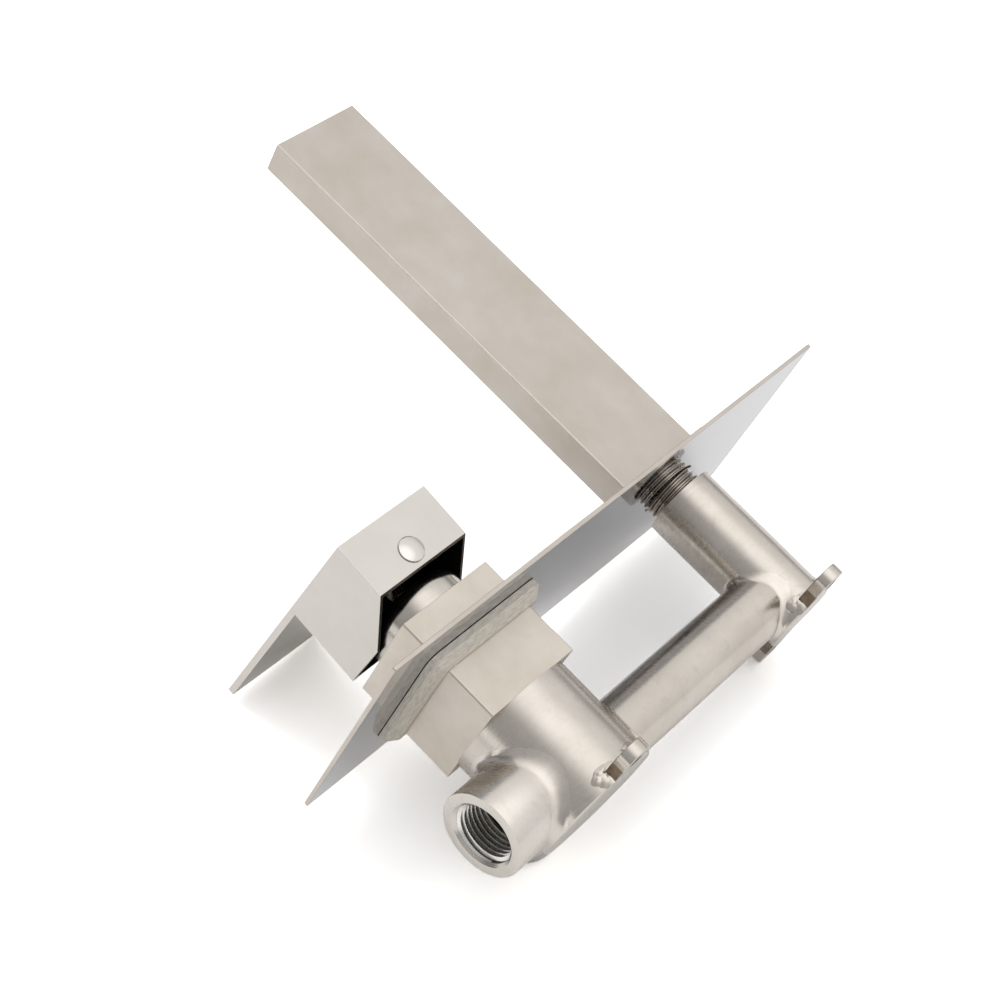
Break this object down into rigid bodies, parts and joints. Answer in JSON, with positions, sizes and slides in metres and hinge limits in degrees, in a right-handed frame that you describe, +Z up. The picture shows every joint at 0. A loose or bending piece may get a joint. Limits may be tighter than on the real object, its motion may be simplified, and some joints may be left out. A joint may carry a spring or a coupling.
{
  "type": "wall-mounted basin mixer tap",
  "caption": "Single-lever basin mixer for a wall: a flat straight spout and a square lever with a long blade on one rectangular plate, with a welded steel body behind it.",
  "frame": {"origin": "on the valve's axis, in the flat rear end face of the valve barrel that stands against the structure behind the wall", "axes": "+X to the user's right, from the spout towards the lever; +Y into the wall; +Z up"},
  "size_m": [0.22, 0.245, 0.1219],
  "materials": {
    "body_steel": "turned stainless steel with welded joints",
    "plate_steel": "polished stainless steel sheet",
    "gasket_rubber": "matt grey rubber",
    "spout_steel": "satin stainless steel",
    "lever_steel": "fine satin stainless steel",
    "seal_rubber": "black rubber",
    "cartridge_plastic": "white moulded plastic",
    "ceramic": "lapped white ceramic",
    "brass": "bare machined brass",
    "pin_steel": "bare steel"
  },
  "bodies": {
    "fixed": {"valve_barrel": "body_steel", "valve_block": "body_steel", "side_inlet": "body_steel", "bottom_inlet": "body_steel", "cross_tube": "body_steel", "spout_socket": "body_steel", "valve_lug": "body_steel", "upper_spout_lug": "body_steel", "lower_spout_lug": "body_steel", "face_plate": "plate_steel", "plate_gasket": "gasket_rubber", "spout_shell": "spout_steel", "spout_tip_plate": "spout_steel", "spout_foot": "spout_steel", "spout_nipple": "spout_steel", "spout_washer": "seal_rubber", "aerator_seat": "spout_steel", "aerator_housing": "spout_steel", "aerator_insert": "cartridge_plastic", "aerator_seal": "seal_rubber", "cartridge_base": "cartridge_plastic", "port_seals": "seal_rubber", "fixed_disc": "ceramic", "cartridge_housing": "cartridge_plastic", "retaining_nut": "brass", "bonnet_ring": "seal_rubber", "bonnet": "lever_steel"},
    "carrier": {"stem_carrier": "cartridge_plastic", "carrier_seal": "seal_rubber", "pivot_pin": "pin_steel"},
    "disc": {"moving_disc": "ceramic", "disc_driver": "cartridge_plastic"},
    "lever": {"stem": "pin_steel", "lever_body": "lever_steel", "lever_hub": "brass", "grub_screw": "pin_steel", "lever_plug": "lever_steel"}
  },
  "joints": [
    {"name": "temperature_turn", "type": "hinge", "parent": "fixed", "child": "carrier", "pos_m": [0, -0.0745, 0], "axis": [0, -1, 0], "range_deg": [-45, 45]},
    {"name": "flow_tilt", "type": "hinge", "parent": "carrier", "child": "lever", "pos_m": [0, -0.0745, 0], "axis": [-1, 0, 0], "range_deg": [-5, 20]},
    {"name": "disc_slide", "type": "slide", "parent": "carrier", "child": "disc", "axis": [0, 0, -1], "range_m": [-0.0008, 0.0032]}
  ],
  "couplings": [
    {"joint": "disc_slide", "follows": "flow_tilt", "m_per_rad": 0.009}
  ]
}
